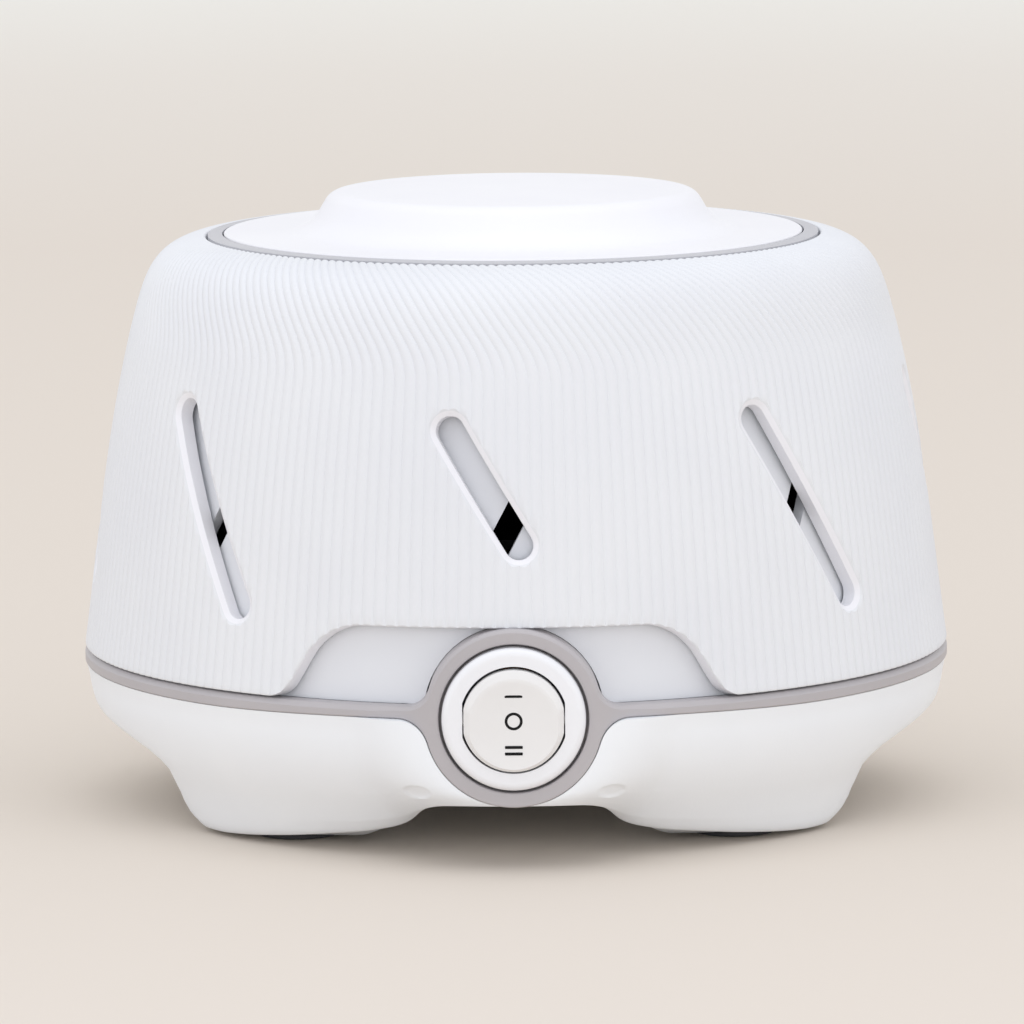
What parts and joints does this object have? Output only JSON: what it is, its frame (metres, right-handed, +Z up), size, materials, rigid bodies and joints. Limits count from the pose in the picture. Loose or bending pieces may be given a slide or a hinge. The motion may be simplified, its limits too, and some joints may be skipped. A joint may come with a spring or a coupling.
{
  "type": "white noise machine",
  "caption": "Fan-based white noise machine: ribbed slotted shell and cap that turn over an acoustic drum, three-position rocker switch, four-footed base.",
  "frame": {"origin": "on the table surface under the centre of the base, on the fan's axis", "axes": "+Z up along the fan's axis, the switch and front towards -Y, +X to the right seen from the front"},
  "size_m": [0.146, 0.1492, 0.1035],
  "materials": {
    "shell_white": "fine satin ABS, cool white",
    "cap_white": "satin ABS, white",
    "base_white": "satin ABS, white",
    "drum_white": "satin ABS, pale grey-white",
    "trim_grey": "satin ABS, warm grey",
    "ring_grey": "satin ABS, light grey",
    "switch_white": "semi-gloss nylon, warm white",
    "inner_plastic": "natural nylon",
    "fan_black": "black ABS",
    "pad_rubber": "dark grey rubber",
    "gland_rubber": "pale grey flexible PVC",
    "stack_steel": "laminated silicon steel",
    "zinc_steel": "zinc plated steel",
    "bearing_bronze": "sintered bronze",
    "copper": "bare copper",
    "winding_tape": "yellow polyester tape over the winding",
    "rotor_aluminium": "cast aluminium cage in steel",
    "lead_black": "PVC insulation, black",
    "lead_white": "PVC insulation, white",
    "glide_pom": "acetal"
  },
  "bodies": {
    "housing": {"base_shell": "base_white", "foot_pad_front_left": "pad_rubber", "foot_pad_front_right": "pad_rubber", "foot_pad_rear_left": "pad_rubber", "foot_pad_rear_right": "pad_rubber", "base_screws": "zinc_steel", "trim_band": "trim_grey", "switch_body": "switch_white", "switch_terminals": "copper", "acoustic_drum": "drum_white", "glide_ring": "glide_pom", "retaining_ring": "ring_grey", "ring_screws": "zinc_steel", "motor_plate": "zinc_steel", "motor_grommets": "pad_rubber", "plate_screws": "zinc_steel", "motor_stator": "stack_steel", "shading_rings": "copper", "upper_bearing": "bearing_bronze", "lower_bearing": "bearing_bronze", "upper_bearing_bracket": "zinc_steel", "lower_bearing_bracket": "zinc_steel", "motor_bolts": "zinc_steel", "motor_nuts": "zinc_steel", "coil_bobbin": "inner_plastic", "coil_winding": "winding_tape", "thermal_fuse": "inner_plastic", "terminal_block": "inner_plastic", "block_screws": "zinc_steel", "cord_gland": "gland_rubber", "lead_live": "lead_black", "lead_low": "lead_black", "lead_high": "lead_white", "lead_neutral": "lead_white"},
    "shell": {"outer_shell": "shell_white"},
    "top": {"cap": "cap_white", "cap_shutter": "inner_plastic", "cap_washer": "zinc_steel", "cap_screw": "zinc_steel"},
    "rocker": {"switch_rocker": "switch_white", "switch_plunger": "zinc_steel", "plunger_spring": "zinc_steel"},
    "contact": {"contact_blade": "copper"},
    "rotor": {"motor_rotor": "rotor_aluminium", "motor_shaft": "zinc_steel", "fan": "fan_black", "fan_clip": "zinc_steel"}
  },
  "joints": [
    {"name": "shell_turn", "type": "hinge", "parent": "housing", "child": "shell", "pos_m": [0, 0, 0.06], "axis": [0, 0, 1], "range_deg": [-14.7, 17.3]},
    {"name": "cap_turn", "type": "hinge", "parent": "housing", "child": "top", "pos_m": [0, 0, 0.095], "axis": [0, 0, 1], "range_deg": [-22.5, 22.5]},
    {"name": "rocker_tilt", "type": "hinge", "parent": "housing", "child": "rocker", "pos_m": [0, -0.0724, 0.0249], "axis": [1, 0, 0], "range_deg": [-9, 9]},
    {"name": "contact_tilt", "type": "hinge", "parent": "housing", "child": "contact", "pos_m": [0, -0.0602, 0.0249], "axis": [1, 0, 0], "range_deg": [-2.5, 2.5]},
    {"name": "fan_spin", "type": "hinge", "parent": "housing", "child": "rotor", "pos_m": [0, 0, 0.06], "axis": [0, 0, 1], "continuous": true}
  ],
  "couplings": [
    {"joint": "contact_tilt", "follows": "rocker_tilt", "ratio": -0.25}
  ]
}
